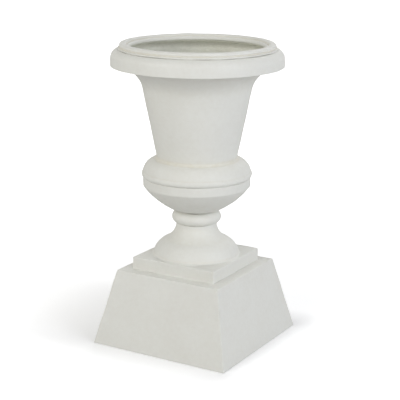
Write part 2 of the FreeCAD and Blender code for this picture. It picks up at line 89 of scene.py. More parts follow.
def stretch(start, end, rise=0.0):
    """Points from start up to end, on a line or an arc.

    With u from -1 to 1 along an arc of half angle a, a point lies sin(a u) / sin(a) half chords along the
    chord and (cos(a u) - cos(a)) / sin(a) half chords to the right of it. The middle stands `rise` off it.
    """
    start, end = np.array(start, float), np.array(end, float)
    half_chord = (end - start) / 2
    length = np.hypot(*half_chord)
    u = np.linspace(-1, 1, max(int(2 * length / STEP), 2), endpoint=False)[:, None]
    middle = (start + end) / 2
    if rise == 0:
        return middle + u * half_chord
    angle = 2 * np.arctan(rise / length)
    right = np.array([half_chord[1], -half_chord[0]])
    along, off = np.sin(angle * u) / np.sin(angle), (np.cos(angle * u) - np.cos(angle)) / np.sin(angle)
    return middle + along * half_chord + off * right


def walk(corners, bare_from=None):
    """Closed outline through corners (radius, height) or (radius, height, rise of the arc that follows).

    The third column is 1 on the stretches from corner number `bare_from` on, and 0 before it.
    """
    rows = []
    for number, (corner, after) in enumerate(zip(corners, corners[1:] + corners[:1])):
        points = stretch(corner[:2], after[:2], *corner[2:])
        bare = bare_from is not None and number >= bare_from
        rows.append(np.column_stack([points, np.full(len(points), float(bare))]))
    return np.concatenate(rows)


# %% [markdown]
# ## Soft corners
#
# Nothing that leaves such a mould is knife-sharp: resin shrinks, and paint draws away from an edge. A
# bell curve run along the outline rounds every corner in one step. The product of frequencies does it
# fast, because averaging along a line only makes its ripples smaller.

# %% Round the corners of an outline
def steps_of(outline):
    """Distance from each point of a closed outline to the next."""
    return np.hypot(*(np.roll(outline, -1, 0) - outline)[:, :2].T)


def averaged(columns, spacing, spread):
    """Closed columns averaged with a bell curve.

    A ripple of f per mm shrinks by exp(-2 (pi spread f)^2).
    """
    ripples = np.fft.fftfreq(len(columns), spacing)[:, None]
    shrunk = np.fft.fft(columns, axis=0) * np.exp(-2 * (np.pi * spread * ripples) ** 2)
    return np.fft.ifft(shrunk, axis=0).real


def sampled(outline, measure, count):
    """Rows of a closed outline at `count` even steps of a measure that grows along it."""
    wanted = np.linspace(0, measure[-1], count, endpoint=False)
    closed = np.concatenate([outline, outline[:1]])
    return np.column_stack([np.interp(wanted, measure, column) for column in closed.T])


def hollowness(outline):
    """How sharply each point turns away from the solid, in radians per mm. Hollows are above zero."""
    ahead = (np.roll(outline, -1, 0) - outline)[:, :2]
    behind = np.roll(ahead, 1, 0)
    turn = np.arctan2(behind[:, 0] * ahead[:, 1] - behind[:, 1] * ahead[:, 0], (ahead * behind).sum(1))
    return -turn / np.maximum(np.hypot(*ahead.T), 1e-6)


BARE_SPREAD = 5.0
RECESS_SPREAD, RECESS_GAIN = 3.0, 9


def softened(outline, spread):
    """The outline with round corners, and a last column that is 1 deep in its hollows.

    The bare side never touched the mould, and strands can't follow a corner, so it takes a far wider
    curve. The two are mixed by how bare each point is.
    """
    measure = np.concatenate([[0], np.cumsum(steps_of(outline))])
    even = sampled(outline, measure, int(measure[-1] / STEP))
    spacing = measure[-1] / len(even)
    crisp, loose = averaged(even, spacing, spread), averaged(even, spacing, BARE_SPREAD)
    share = loose[:, 2:] * even[:, 2:]
    soft = (1 - share) * crisp + share * loose
    hollow = averaged(hollowness(soft)[:, None], spacing, RECESS_SPREAD)
    return np.column_stack([soft, np.clip(hollow * RECESS_GAIN, 0, 1)])


# %% [markdown]
# A mesh needs few points where the outline runs straight and many where it turns. So the points are
# spread by a measure that grows with length and, much faster, with turning.

# %% Spread the points of an outline
LONGEST = 6.0
TURN_SPREAD, SHARPEST, CROWDING = 1.0, 0.6, 5


def spread_out(outline, count):
    """`count` points, close together where the outline turns and up to LONGEST mm apart elsewhere."""
    steps = steps_of(outline)
    turning = averaged(np.abs(hollowness(outline))[:, None], steps.mean(), TURN_SPREAD)[:, 0]
    crowding = 1 / LONGEST + CROWDING * np.clip(turning, 0, SHARPEST)
    return sampled(outline, np.concatenate([[0], np.cumsum(crowding * steps)]), count)


# %% [markdown]
# ## Rings
#
# A template becomes a solid when each of its points is carried round the rod. A turned moulding goes
# round a circle, and the pedestal and the slab go round a square with small round corners. The square
# has the same number of points at every size, so a face can run from a square edge to a round hole.

# %% Carry a template round the rod
ROUND_POINTS = 256
SIDE_POINTS, CORNER_POINTS = 41, 9
CORNER_SWING = 0.1


def turned(outline, count=ROUND_POINTS):
    """Point (i, j) is the radius of row i along direction j, at the height of row i."""
    angle = np.linspace(0, 2 * np.pi, count, endpoint=False)
    ring = np.column_stack([np.cos(angle), np.sin(angle)])
    flat = outline[:, None, :1] * ring
    height = np.broadcast_to(outline[:, None, 1:2], flat.shape[:2] + (1,))
    return np.concatenate([flat, height], axis=2)


def square_ring():
    """Where the way out starts and where it points, round a square of half side 1 with loose corners.

    Along a side the start slides from corner to corner, slower near its ends, and the way out stays
    square to the side. Round a corner the start stays and the way out turns.
    """
    slide = -np.cos(np.linspace(0, np.pi, SIDE_POINTS))
    sweep = np.linspace(0, np.pi / 2, CORNER_POINTS + 2)[1:-1]
    side = np.column_stack([np.ones(SIDE_POINTS), slide])
    start = np.concatenate([side, np.ones((CORNER_POINTS, 2))])
    fan = np.column_stack([np.cos(sweep), np.sin(sweep)])
    out = np.concatenate([np.tile([1.0, 0.0], (SIDE_POINTS, 1)), fan])
    turns = [np.array([[c, s], [-s, c]]) for c, s in ((1, 0), (0, 1), (-1, 0), (0, -1))]
    return [np.concatenate([part @ turn for turn in turns]) for part in (start, out)]


def squared(outline, corner, round_inside):
    """Point (i, j) on a rounded square of half side i, which becomes a circle inside a radius.

    A square point is (half side - corner) times the start plus corner times the way out. A round point is
    the half side along a like bearing, which CORNER_SWING keeps turning round the corner. The share of
    square grows from 0 to 1 over one more radius.
    """
    start, out = square_ring()
    half = outline[:, None, :1]
    bearing = start + CORNER_SWING * out
    round_point = half * bearing / np.hypot(*bearing.T)[:, None]
    share = np.clip(half / round_inside - 1, 0, 1)
    flat = share * ((half - corner) * start + corner * out) + (1 - share) * round_point
    height = np.broadcast_to(outline[:, None, 1:2], flat.shape[:2] + (1,))
    return np.concatenate([flat, height], axis=2)


# %% [markdown]
# ## Hand-made faces
#
# These mouldings are laid up by hand in moulds that were made by hand, so their faces swell and sink by
# a few tenths of a millimetre and light slides over them unevenly. The bare inner face never touched a
# mould and is far rougher. Both come from one sum of sine waves in different sizes, added along the
# surface's own outward direction.

# %% Swells on a surface
WAVES = 24
SHORT_WAVE, LONG_WAVE = 0.6, 1.5


def swell(points, size, seed):
    """A sum of sine waves about `size` mm long in random directions, with a usual height of one."""
    rng = np.random.default_rng(seed)
    direction = rng.normal(size=(3, WAVES))
    share_of_size = rng.uniform(SHORT_WAVE, LONG_WAVE, WAVES)
    direction *= 2 * np.pi / (np.linalg.norm(direction, axis=0) * size * share_of_size)
    return np.sin(points @ direction + rng.uniform(0, 2 * np.pi, WAVES)).sum(-1) / np.sqrt(WAVES / 2)


def outward(points):
    """Outward direction on a closed grid: the way round crossed with the way along the template."""
    along = np.roll(points, -1, 0) - np.roll(points, 1, 0)
    around = np.roll(points, -1, 1) - np.roll(points, 1, 1)
    normal = np.cross(around, along)
    return normal / np.maximum(np.linalg.norm(normal, axis=2, keepdims=True), 1e-9)


# %% [markdown]
# ## From grid to mesh
#
# Neighbouring points of the grid make four-cornered faces. The grid closes in both directions, so the
# mesh has no open edge. Each mesh also carries what its finish needs: a flat map in metres, and numbers
# that say where the surface is bare and where it lies in a recess.

# %% Make a mesh from a grid
def volume(corners, faces):
    """Signed volume inside the faces.

    Each triangle gives one corner times the cross product of the other two. The sum is divided by six.
    """
    a, b, c, d = (corners[faces[:, k]] for k in range(4))
    return (np.einsum("ij,ij", a, np.cross(b, c)) + np.einsum("ij,ij", a, np.cross(c, d))) / 6


def flat_map(points):
    """Distance round and distance along for each face corner, in metres, running on past the seam."""
    rows, columns = points.shape[:2]
    around = np.arange(columns + 1) * 2 * np.pi * np.hypot(points[..., 0], points[..., 1]).max() / columns
    paces = np.linalg.norm(np.roll(points[:, 0], -1, 0) - points[:, 0], axis=1)
    along = np.concatenate([[0], np.cumsum(paces)])
    row, column = np.indices((rows, columns))
    u = np.stack([around[column], around[column + 1], around[column + 1], around[column]], -1)
    v = np.stack([along[row], along[row], along[row + 1], along[row + 1]], -1)
    return (np.stack([u, v], -1) * MM).reshape(-1, 4, 2)


def make_piece(name, points, **numbers):
    """A smooth object from a grid in mm that closes both ways. Each number becomes a point attribute."""
    index = np.arange(points.shape[0] * points.shape[1]).reshape(points.shape[:2])
    right, up = np.roll(index, -1, 1), np.roll(index, -1, 0)
    faces = np.stack([index, right, np.roll(up, -1, 1), up], -1).reshape(-1, 4)
    corners, uv = points.reshape(-1, 3) * MM, flat_map(points)
    if volume(corners, faces) < 0:
        faces, uv = faces[:, ::-1], uv[:, ::-1]
    mesh = bpy.data.meshes.new(name)
    mesh.from_pydata(corners, [], faces)
    mesh.uv_layers.new(name="flat").uv.foreach_set("vector", uv.astype(np.float32).ravel())
    for label, values in numbers.items():
        attribute = mesh.attributes.new(label, "FLOAT", "POINT")
        attribute.data.foreach_set("value", values.astype(np.float32).ravel())
    mesh.polygons.foreach_set("use_smooth", np.ones(len(faces), bool))
    piece = bpy.data.objects.new(name, mesh)
    bpy.context.scene.collection.objects.link(piece)
    return piece


# %% [markdown]
# Solid things such as a plug reach the axis. There a whole row of the grid falls on one spot. Merging
# the doubles closes that pole, and the faces that shrank to nothing go with them.

# %% Close the poles of a solid
POLE_GAP = 1e-7


def to_the_axis(outline):
    """The part of an outline beside the axis, with both of its ends on the axis."""
    beside = outline[outline[:, 0] > 0]
    ends = beside[[0, -1]].copy()
    ends[:, 0] = 0
    return np.concatenate([ends[:1], beside, ends[1:]])


def close_poles(piece):
    """Merges the points that share a spot, and drops what is left hanging from no face."""
    shape = bmesh.new()
    shape.from_mesh(piece.data)
    bmesh.ops.remove_doubles(shape, verts=shape.verts, dist=POLE_GAP)
    bmesh.ops.delete(shape, geom=[edge for edge in shape.edges if edge.is_wire], context="EDGES")
    shape.to_mesh(piece.data)
    shape.free()
    return piece


# %% [markdown]
# ## Drilled holes
#
# The drain and the holes in the deck lie beside the rod, so no template can hold them. On the bench
# they are drilled after moulding, and here too: a round rod per hole is taken away from the mesh. Each
# rod reaches well past the wall that it goes through, so that no thin skin is left over a hole.

# %% Drill holes beside the rod
CUTTER_POINTS = 48
CREASE = math.radians(45)


def drill(piece, places, radius, low, high):
    """Takes away an upright rod at each (x, y) between two heights, all in millimetres."""
    outline = np.array([(0, low), (radius, low), (radius, high), (0, high)], float)
    upright = turned(outline, CUTTER_POINTS)
    cutters = [close_poles(make_piece("cutter", upright + (x, y, 0))) for x, y in places]
    for cutter in cutters:
        hole = piece.modifiers.new("hole", "BOOLEAN")
        hole.operation, hole.solver, hole.object = "DIFFERENCE", "EXACT", cutter
    bpy.context.view_layer.update()
    drilled = bpy.data.meshes.new_from_object(piece.evaluated_get(bpy.context.evaluated_depsgraph_get()))
    piece.modifiers.clear()
    piece.data = drilled
    piece.data.set_sharp_from_angle(angle=CREASE)
    for cutter in cutters:
        bpy.data.objects.remove(cutter)
    print(f"{piece.name}: {len(places)} holes of {2 * radius:.1f} mm")


# %% [markdown]
# ## Node by node
#
# A finish is a small network of nodes. One helper adds a node, sets it up and links it. Colours are
# written as the hex values a paint chart gives, and one function turns them to the linear light that
# the renderer adds up.

# %% Helpers for finishes
def linear(code):
    """A channel c of an sRGB hex colour becomes c / 12.92 if dark, else ((c + 0.055) / 1.055) ** 2.4."""
    channel = np.array([int(code[k:k + 2], 16) for k in (1, 3, 5)]) / 255
    return (*np.where(channel <= 0.04045, channel / 12.92, ((channel + 0.055) / 1.055) ** 2.4), 1.0)


def add(tree, kind, inputs=(), **settings):
    """Adds a node. Each input is a plain value or the output socket that it takes."""
    node = tree.nodes.new("ShaderNode" + kind)
    for label, value in settings.items():
        setattr(node, label, value)
    for socket, value in dict(inputs).items():
        if isinstance(value, bpy.types.NodeSocket):
            tree.links.new(value, node.inputs[socket])
        else:
            node.inputs[socket].default_value = value
    return node


def new_finish(name, plain):
    """A material, its nodes, its shader with plain values on its sockets, and the place in metres."""
    material = bpy.data.materials.new(name)
    material.use_nodes = True
    tree = material.node_tree
    shader = tree.nodes["Principled BSDF"]
    for socket, value in plain.items():
        shader.inputs[socket].default_value = value
    return material, tree, shader, add(tree, "TexCoord").outputs["Object"]


def feed(shader, outputs):
    """Links each output to the input of the shader that it is listed under."""
    for socket, output in outputs.items():
        shader.id_data.links.new(output, shader.inputs[socket])


# %% [markdown]
# ## Painted composite
#
# The outside is masonry paint rolled and sprayed over moulded fibre-reinforced composite. It is nearly
# matte, so broad soft highlights are all that it gives back. Its white is a little creamier in the
# recesses, partly where glaze settles and partly as painted shade. Thicker and thinner coats mottle it
# very slightly: clouds a hand wide and patches a finger wide. The coat has the fine orange-peel skin of
# sprayed paint.

# %% Painted composite
# The cream colour is glaze, and painted shade, for the recesses.
PAINT, PAINT_THIN, PAINT_CREAM_AND_SHADE, DUST = "#e5e5df", "#e1e0d9", "#dbd6c6", "#c6c1b2"
CLOUD, PATCH, GRIT, PEEL = 0.070, 0.011, 0.006, 0.0016  # metres


def painted_composite():
    """Colour: two sizes of mottling, then cream glaze and painted shade in the recesses, then rare
    specks. Skin: peel.
    """
    material, tree, shader, place = new_finish(
        "painted_composite", {"Metallic": 0.0, "IOR": 1.5, "Specular IOR Level": 0.35})
    cloud = add(tree, "TexNoise", {"Vector": place, "Scale": 1 / CLOUD, "Detail": 4.0, "Roughness": 0.6})
    patch = add(tree, "TexNoise", {"Vector": place, "Scale": 1 / PATCH, "Detail": 3.0, "Roughness": 0.65})
    both = add(tree, "Math", {0: cloud.outputs["Fac"], 1: patch.outputs["Fac"]}, operation="ADD")
    thinness = add(tree, "MapRange", {"Value": both.outputs[0], "From Min": 0.75, "From Max": 1.35})
    coat = add(tree, "Mix", {0: thinness.outputs[0], 6: linear(PAINT), 7: linear(PAINT_THIN)},
               data_type="RGBA")
    # Cream in the recesses: partly settled glaze, partly painted shade.
    recess = add(tree, "Attribute", attribute_name="recess").outputs["Fac"]
    settled_and_shaded = add(tree, "Math", {0: recess, 1: patch.outputs["Fac"]}, operation="MULTIPLY")
    glazed_and_shaded = add(tree, "Mix", {0: settled_and_shaded.outputs[0], 6: coat.outputs[2], 7: linear(PAINT_CREAM_AND_SHADE)},
                 data_type="RGBA")
    grit = add(tree, "TexVoronoi", {"Vector": place, "Scale": 1 / GRIT, "Randomness": 1.0})
    speck = add(tree, "MapRange", {"Value": grit.outputs["Distance"], "From Min": 0.10, "From Max": 0.04})
    rare = add(tree, "MapRange", {"Value": cloud.outputs["Fac"], "From Min": 0.58, "From Max": 0.66})
    dust = add(tree, "Math", {0: speck.outputs[0], 1: rare.outputs[0]}, operation="MULTIPLY")
    colour = add(tree, "Mix", {0: dust.outputs[0], 6: glazed_and_shaded.outputs[2], 7: linear(DUST)},
                 data_type="RGBA")
    sheen = add(tree, "MapRange", {"Value": both.outputs[0], "From Min": 0.7, "From Max": 1.4,
                                   "To Min": 0.50, "To Max": 0.66})
    peel = add(tree, "TexNoise", {"Vector": place, "Scale": 1 / PEEL, "Detail": 2.0})
    wave = add(tree, "Bump", {"Height": patch.outputs["Fac"], "Strength": 0.25, "Distance": 0.0006})
    skin = add(tree, "Bump", {"Height": peel.outputs["Fac"], "Strength": 0.2, "Distance": 0.0003,
                              "Normal": wave.outputs[0]})
    feed(shader, {"Base Color": colour.outputs[2], "Roughness": sheen.outputs[0],
                  "Normal": skin.outputs[0]})
    return material


paint = painted_composite()
print("paint", PAINT, "is", [round(float(c), 3) for c in linear(PAINT)[:3]], "in linear light")

# %% [markdown]
# ## Bare composite
#
# Inside, the laminate is left as it was rolled out: chopped strands of glass lie every way in a pale
# filled resin. The strands are about a millimetre wide and a few centimetres long, and they show as
# faint paler streaks that stand a little proud. Stretching a noise along one direction gives one set of
# strands, and a few sets at different bearings cross each other as a mat does. Only the deepest hollows
# are darker: partly grime, partly painted shade.

# %% Bare composite
# The darkest resin colour is partly grime and partly painted shade for the deepest hollows.
RESIN, RESIN_DARK, STRAND, GRIME_AND_SHADE = "#efefe6", "#d5d5ca", "#f5f5ee", "#8c8b7c"
BLOTCH, LUMP, STRAND_LENGTH, STRAND_WIDTH = 0.014, 0.0025, 0.030, 0.0013  # metres
STRAND_TURNS = ((0.3, 0.2, 0.1), (1.1, 0.5, 1.3), (0.2, 1.4, 2.2), (2.0, 0.9, 0.6))


def bare_composite():
    """Colour: blotched resin, the strongest of four crossing strand noises, grime and painted shade in
    deep hollows.

    Skin: lumps, and the strands on them.
    """
    strand_scale = (1 / STRAND_LENGTH, 1 / STRAND_WIDTH, 1 / STRAND_WIDTH)
    material, tree, shader, place = new_finish(
        "bare_glass_fibre_composite", {"Metallic": 0.0, "IOR": 1.52, "Roughness": 0.7})
    blotch = add(tree, "TexNoise", {"Vector": place, "Scale": 1 / BLOTCH, "Detail": 4.0, "Roughness": 0.7})
    resin = add(tree, "Mix", {0: blotch.outputs["Fac"], 6: linear(RESIN_DARK), 7: linear(RESIN)},
                data_type="RGBA")
    mat = None
    for turn in STRAND_TURNS:
        laid = add(tree, "Mapping", {"Vector": place, "Rotation": turn, "Scale": strand_scale})
        strands = add(tree, "TexNoise", {"Vector": laid.outputs[0], "Scale": 1.0, "Detail": 1.0})
        fac = strands.outputs["Fac"]
        mat = fac if mat is None else add(tree, "Math", {0: mat, 1: fac}, operation="MAXIMUM").outputs[0]
    proud = add(tree, "MapRange", {"Value": mat, "From Min": 0.60, "From Max": 0.74})
    laid_up = add(tree, "Mix", {0: proud.outputs[0], 6: resin.outputs[2], 7: linear(STRAND)},
                  data_type="RGBA")
    # The deepest hollows darken towards the grime colour: partly grime, partly painted shade.
    recess = add(tree, "Attribute", attribute_name="recess").outputs["Fac"]
    grime_and_painted_shade = add(tree, "MapRange", {"Value": recess, "From Min": 0.5, "To Max": 0.5})
    colour = add(tree, "Mix", {0: grime_and_painted_shade.outputs[0], 6: laid_up.outputs[2], 7: linear(GRIME_AND_SHADE)},
                 data_type="RGBA")
    lump = add(tree, "TexNoise", {"Vector": place, "Scale": 1 / LUMP, "Detail": 3.0, "Roughness": 0.7})
    lumps = add(tree, "Bump", {"Height": lump.outputs["Fac"], "Strength": 0.6, "Distance": 0.0012})
    skin = add(tree, "Bump", {"Height": proud.outputs[0], "Strength": 0.5, "Distance": 0.0004,
                              "Normal": lumps.outputs[0]})
    feed(shader, {"Base Color": colour.outputs[2], "Normal": skin.outputs[0]})
    return material


laminate = bare_composite()
print("laminate has", len(STRAND_TURNS), "sets of strands")

# %% [markdown]
# ## One way to finish a moulding
#
# Every moulding goes the same way: template, soft corners, carried round, swells, mesh, finish. A face
# takes the bare finish where most of it is bare.

# %% Finish a moulding
PAINT_SWELL, PAINT_SWELL_SIZE = 0.20, 75.0
PAINT_RIPPLE, PAINT_RIPPLE_SIZE = 0.07, 24.0
BARE_SWELL, BARE_SWELL_SIZE = 0.50, 17.0
PAINT_SEED, RIPPLE_SEED, BARE_SEED = 3, 4, 5


def mould(name, outline, carry):
    """A moulding in paint and bare laminate.

    Its faces move out by the swells of each finish, but never down into the floor.
    """
    points = carry(outline)
    bare = np.broadcast_to(outline[:, None, 2], points.shape[:2])
    height = PAINT_SWELL * swell(points, PAINT_SWELL_SIZE, PAINT_SEED)
    height = height + PAINT_RIPPLE * swell(points, PAINT_RIPPLE_SIZE, RIPPLE_SEED)
    height = height + bare * BARE_SWELL * swell(points, BARE_SWELL_SIZE, BARE_SEED)
    points = points + outward(points) * height[..., None]
    points[..., 2] = np.maximum(points[..., 2], 0)
    recess = np.broadcast_to(outline[:, None, 3], points.shape[:2])
    piece = make_piece(name, points, bare=bare, recess=recess)
    piece.data.materials.append(paint)
    piece.data.materials.append(laminate)
    face_bare = (np.roll(bare, -1, 0) + bare) / 2 > 0.5
    piece.data.polygons.foreach_set("material_index", face_bare.astype(np.int32).ravel())
    return piece


def stand_for(piece, node, body="urn"):
    """The piece takes the node's place, with the node hidden, and rides on its body."""
    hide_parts(node)
    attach(piece, body)
    print(f"{piece.name} stands for {node}: {len(piece.data.polygons)} faces")
    return piece


# %% [markdown]
# ## The pedestal
#
# The pedestal is a hollow box with sloping walls and a flat deck, open underneath. Its mould is made of
# flat boards, so its faces are the flattest of all, and its corners are only a little rounded. The deck
# has the rod's hole, four holes for the pegs and four more that let the water out.

# %% Pedestal
ROD_HOLE = 6.5
PEG, PEG_HOLE = 85.0, 5.3
DECK_DRAIN, DECK_DRAIN_HOLE = 19.8, 6.0


def four(spread):
    """Places at plus and minus a distance from both centre lines."""
    return [(x, y) for x in (-spread, spread) for y in (-spread, spread)]


deck = top("pedestal_shell")
under_deck = deck - 10
pedestal_template = [(187.5, 0), (197.7, 0), (151.2, deck), (ROD_HOLE, deck), (ROD_HOLE, under_deck),
                     (143.35, under_deck)]
pedestal = mould("moulded_pedestal", spread_out(softened(walk(pedestal_template, 4), 1.2), 330),
                 lambda outline: squared(outline, corner=1.0, round_inside=30.0))
drill(pedestal, four(PEG), PEG_HOLE, deck - 20, deck + 10)
drill(pedestal, four(DECK_DRAIN), DECK_DRAIN_HOLE, deck - 20, deck + 10)
stand_for(pedestal, "pedestal_shell")

# %% [markdown]
# ## The slab
#
# A square slab with a wide round core, through which the rod and the drain pass. It has a softer upper
# edge and a fine cove at its foot, where paint has filled the joint. Four blind holes in its underside
# take the pegs.

# %% Slab
CORE = 36.0
BLIND_HOLE, BLIND_DEPTH = 5.2, 15.5
slab_low, slab_high = level("plinth"), top("plinth")
slab_template = [(CORE, slab_low), (123.2, slab_low, -0.5), (121.5, slab_low + 2.4),
                 (121.5, slab_high - 1.5), (120, slab_high), (CORE, slab_high)]
slab = mould("square_slab", spread_out(softened(walk(slab_template), 1.0), 170),
             lambda outline: squared(outline, corner=1.2, round_inside=CORE))
drill(slab, four(PEG), BLIND_HOLE, slab_low - 5, slab_low + BLIND_DEPTH)
stand_for(slab, "plinth")


# %% [markdown]
# ## Foot, ring and bowl
#
# The round mouldings share one call. The foot sweeps up into the stem. The ring is a half round with a
# low lip on top, which hides the foam ring that beds the bowl. The two bowl shells meet in a seam under
# the bead, where their soft edges leave the fine dark line that the eye reads as a joint. The rim is a
# ring of its own on the collar, with a thin fillet and a groove at its foot.

# %% Turned mouldings
def turned_moulding(name, node, corners, rows, bare_from=None, spread=1.0):
    """A moulding turned from a template whose heights start at its node's underside."""
    outline = spread_out(softened(walk(corners, bare_from), spread), rows)
    outline[:, 1] += level(node)
    return mould(name, outline, turned)


foot = turned_moulding("foot_and_stem", "stem_foot", [
    (CORE, 0), (118, 0), (118, 0.8, -1.4), (112.6, 6.2, 5.5), (81.8, 40.5, -6.2), (53.5, 80), (53.5, 86),
    (CORE, 86),
], 170)
stand_for(foot, "stem_foot")

ring = turned_moulding("half_round_ring", "neck_ring", [
    (CORE, 0), (50.8, 0, 4.1), (64.8, 15.3, 3.3), (50.8, 33.7), (48.9, 33.5), (48.9, 28), (CORE, 28),
], 110, spread=0.6)
stand_for(ring, "neck_ring")

# %% Lower bowl
DRAIN_PLACE, DRAIN_HOLE = 24.0, 8.3
lower_bowl = turned_moulding("lower_bowl", "bowl_lower_shell", [
    (ROD_HOLE, 0), (45, 0), (49, 3.9, 0.3), (66, 8.6, 5.9), (140.5, 71), (140.5, 94), (131.5, 94),
    (131.5, 80, -5.7), (57, 15), (ROD_HOLE, 15),
], 230, bare_from=6)
floor_level = level("bowl_lower_shell")
drill(lower_bowl, [(DRAIN_PLACE, 0)], DRAIN_HOLE, floor_level - 10, floor_level + 30)
stand_for(lower_bowl, "bowl_lower_shell")

# %% Upper bowl
upper_bowl = turned_moulding("upper_bowl", "bowl_upper_shell", [
    (131.5, 0), (139.5, 0, 4.2), (141.2, 15, 6.3), (113.6, 45.9, -2.0), (105.2, 53),
    (140.8, 230.462, -13.88), (203, 286.437), (203, 289.5), (223, 289.3), (222.1, 310.537, 4.6),
    (205.1, 331.537), (184, 331.537), (184, 330.2), (191, 324.537), (206, 324.537), (213, 317.537),
    (213, 311, -2.5), (200, 296, 14.5), (131.97, 232.23), (96.375, 54.227), (96.375, 40.393),
    (99.375, 37.393, -6.29), (131.5, 15.251),
], 370, bare_from=12)
stand_for(upper_bowl, "bowl_upper_shell")

# %% Rim
rim = turned_moulding("rim_ring_moulding", "rim_ring", [
    (182.4, 0), (183.7, 0), (183.7, 1.5), (199.5, 1.5), (203.3, 2.4), (203.3, 5.8), (199.2, 6.3),
    (199.2, 8.4, 2.9), (194.2, 16.8), (186, 16.8, 1.2), (181.2, 12.2), (180.8, 10), (178.6, 10.8, 1.6),
    (174, 4.2), (174, 2.6), (175.5, 1.6), (182.4, 1.2),
], 170, spread=0.35)
stand_for(rim, "rim_ring")

# %% [markdown]
# ## Metal
#
# The rod, the nuts and the steel washers are zinc-plated steel. Plating is a thin cloudy grey metal with a
# faint straw tint where the passivation is thicker, and it goes chalky white in spots outdoors.

# %% Zinc-plated steel
ZINC, ZINC_TINT, ZINC_BLOOM = "#b4b7b8", "#b5b09c", "#cfd1d0"
TINT_CLOUD, CHALK_SPOT = 0.009, 0.003  # metres


def zinc_plated_steel():
    """Colour: straw clouds, then rare chalky spots, which are also rougher."""
    material, tree, shader, place = new_finish("zinc_plated_steel", {"Metallic": 1.0})
    cloud = add(tree, "TexNoise", {"Vector": place, "Scale": 1 / TINT_CLOUD, "Detail": 4.0})
    tint = add(tree, "Mix", {0: cloud.outputs["Fac"], 6: linear(ZINC), 7: linear(ZINC_TINT)},
               data_type="RGBA")
    spots = add(tree, "TexNoise", {"Vector": place, "Scale": 1 / CHALK_SPOT, "Detail": 5.0,
                                   "Roughness": 0.7})
    bloom = add(tree, "MapRange", {"Value": spots.outputs["Fac"], "From Min": 0.58, "From Max": 0.72})
    colour = add(tree, "Mix", {0: bloom.outputs[0], 6: tint.outputs[2], 7: linear(ZINC_BLOOM)},
                 data_type="RGBA")
    dullness = add(tree, "MapRange", {"Value": spots.outputs["Fac"], "To Min": 0.25, "To Max": 0.6})
    scuffs = add(tree, "Bump", {"Height": spots.outputs["Fac"], "Strength": 0.15, "Distance": 0.0001})
    feed(shader, {"Base Color": colour.outputs[2], "Roughness": dullness.outputs[0],
                  "Normal": scuffs.outputs[0]})
    return material


zinc = zinc_plated_steel()


def keep_node(node, material):
    """A node whose shape is right keeps it and gets the finish in each of its material slots."""
    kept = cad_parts[node]
    if not kept.material_slots:
        kept.data.materials.append(material)
    for place in kept.material_slots:
        place.material = material
    print(node, "keeps its shape and is", material.name)


for node in ("bowl_nut", "bowl_washer", "clamp_bar", "spring_washer", "pedestal_nut"):
    keep_node(node, zinc)

# %% [markdown]
# ## The rod's thread
#
# The rod is M12 with a rolled thread of 1.75 mm pitch. A thread is one surface: the radius depends only on
# how far a point is along the rod minus its share of a turn. That makes the helix without any sweep.

# %% Threaded rod
PITCH, MAJOR, MINOR = 1.75, 6.0, 5.05
CREST_FLAT, END_CUT = 0.5, 0.1
ROWS_PER_TURN, ROD_POINTS = 12, 32


def threaded_rod(low, high):
    """A rod with a thread.

    With t the fraction of (height / pitch - share of a turn), the radius falls from crest to root and back
    as a clipped triangle wave of t. Both ends are cut down at 45 degrees to END_CUT under the root.
    """
    heights = np.linspace(low, high, int((high - low) / PITCH * ROWS_PER_TURN))[:, None]
    angle = np.linspace(0, 2 * np.pi, ROD_POINTS, endpoint=False)[None]
    phase = (heights / PITCH - angle / (2 * np.pi)) % 1
    ridge = np.clip(2 * np.abs(2 * phase - 1) - CREST_FLAT, 0, 1)
    end = np.minimum(heights - low, high - heights) + MINOR - END_CUT
    radius = np.minimum(MINOR + (MAJOR - MINOR) * ridge, end)
    height = np.broadcast_to(heights, radius.shape)
    body = np.stack([radius * np.cos(angle), radius * np.sin(angle), height], -1)
    first, last = body[:1] * (0, 0, 1), body[-1:] * (0, 0, 1)
    return close_poles(make_piece("threaded_rod", np.concatenate([first, body, last])))


rod = threaded_rod(level("tie_rod"), top("tie_rod"))
rod.data.materials.append(zinc)
stand_for(rod, "tie_rod")

# %% [markdown]
# ## Rubber, foam, tape and pegs
#
# The small parts that nobody sees in a shop picture still show when the urn is turned over or emptied.
# Rubber is near black with a grey bloom, foam is full of closed cells, the tape in the seam is woven
# glass under resin, and the pegs are moulded nylon.

# %% Rubber
BLOOM_CLOUD, MOULD_GRAIN = 0.006, 0.0004  # metres


def moulded_rubber(name, colour, bloom):
    """Colour: a grey bloom in clouds. Skin: the fine grain of a blasted mould."""
    material, tree, shader, place = new_finish(
        name, {"Roughness": 0.62, "IOR": 1.52, "Specular IOR Level": 0.4})
    cloud = add(tree, "TexNoise", {"Vector": place, "Scale": 1 / BLOOM_CLOUD, "Detail": 5.0,
                                   "Roughness": 0.65})
    dusty = add(tree, "MapRange", {"Value": cloud.outputs["Fac"], "From Min": 0.40, "From Max": 0.75})
    mixed = add(tree, "Mix", {0: dusty.outputs[0], 6: linear(colour), 7: linear(bloom)}, data_type="RGBA")
    grain = add(tree, "TexNoise", {"Vector": place, "Scale": 1 / MOULD_GRAIN, "Detail": 2.0})
    skin = add(tree, "Bump", {"Height": grain.outputs["Fac"], "Strength": 0.3, "Distance": 0.0001})
    feed(shader, {"Base Color": mixed.outputs[2], "Normal": skin.outputs[0]})
    return material


seal_rubber = moulded_rubber("moulded_epdm_rubber", "#232323", "#4c4b49")
plug_rubber = moulded_rubber("moulded_natural_rubber", "#35322f", "#5a5753")


# %% Foam
FOAM_PIT_SHADE, FOAM_WALL = "#3a3a3c", "#626264"
FOAM_CELL = 0.0005  # metres


